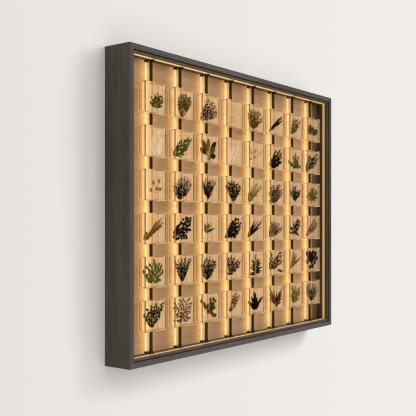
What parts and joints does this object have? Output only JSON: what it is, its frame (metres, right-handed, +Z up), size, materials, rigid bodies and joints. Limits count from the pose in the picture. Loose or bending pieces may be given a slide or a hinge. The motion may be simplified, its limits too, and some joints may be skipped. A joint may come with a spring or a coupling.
{
  "type": "pressed flower frame",
  "caption": "Wall-hung lit display frame: a dark wood case with a pale back panel, and columns of clear boxes on short rods, each holding one pressed plant.",
  "frame": {"origin": "centre of the flat back, on the wall", "axes": "+Y into the wall, +Z up, +X to the right as seen from the front; the viewer is towards -Y"},
  "size_m": [1.2, 0.1, 0.926],
  "materials": {
    "case_wood": "dark grey-brown stained wood, satin",
    "board": "dark fibreboard, matt",
    "panel_wood": "pale wood veneer with fine level grain, matt",
    "light_diffuser": "warm white light diffuser",
    "clear_box": "clear acrylic, polished",
    "black_rod": "black, satin",
    "leaf_green": "dried leaf, matt",
    "leaf_olive": "dried leaf, matt",
    "leaf_dark": "dried leaf, matt",
    "leaf_pale": "thin faded leaf, translucent",
    "leaf_brown": "dried leaf, matt"
  },
  "bodies": {
    "root": {"case": "case_wood", "back_board": "board", "display_panel": "panel_wood", "perimeter_light": "light_diffuser", "box_column_1": "clear_box", "box_column_2": "clear_box", "box_column_3": "clear_box", "box_column_4": "clear_box", "box_column_5": "clear_box", "box_column_6": "clear_box", "box_column_7": "clear_box", "box_column_8": "clear_box", "plant_r1_c1": "leaf_olive", "plant_r2_c1": "leaf_pale", "plant_r3_c1": "leaf_olive", "plant_r4_c1": "leaf_olive", "plant_r5_c1": "leaf_green", "plant_r6_c1": "leaf_green", "plant_r1_c2": "leaf_olive", "plant_r2_c2": "leaf_green", "plant_r3_c2": "leaf_dark", "plant_r4_c2": "leaf_dark", "plant_r5_c2": "leaf_dark", "plant_r6_c2": "leaf_brown", "plant_r1_c3": "leaf_brown", "plant_r2_c3": "leaf_olive", "plant_r3_c3": "leaf_dark", "plant_r4_c3": "leaf_green", "plant_r5_c3": "leaf_dark", "plant_r6_c3": "leaf_olive", "plant_r1_c4": "leaf_pale", "plant_r2_c4": "leaf_pale", "plant_r3_c4": "leaf_dark", "plant_r4_c4": "leaf_dark", "plant_r5_c4": "leaf_brown", "plant_r6_c4": "leaf_brown", "plant_r1_c5": "leaf_olive", "plant_r2_c5": "leaf_pale", "plant_r3_c5": "leaf_olive", "plant_r4_c5": "leaf_dark", "plant_r5_c5": "leaf_dark", "plant_r6_c5": "leaf_dark", "plant_r1_c6": "leaf_dark", "plant_r2_c6": "leaf_dark", "plant_r3_c6": "leaf_brown", "plant_r4_c6": "leaf_brown", "plant_r5_c6": "leaf_green", "plant_r6_c6": "leaf_brown", "plant_r1_c7": "leaf_olive", "plant_r2_c7": "leaf_green", "plant_r3_c7": "leaf_dark", "plant_r4_c7": "leaf_dark", "plant_r5_c7": "leaf_olive", "plant_r6_c7": "leaf_olive", "plant_r1_c8": "leaf_green", "plant_r2_c8": "leaf_green", "plant_r3_c8": "leaf_olive", "plant_r4_c8": "leaf_brown", "plant_r5_c8": "leaf_dark", "plant_r6_c8": "leaf_brown"}
  },
  "joints": []
}
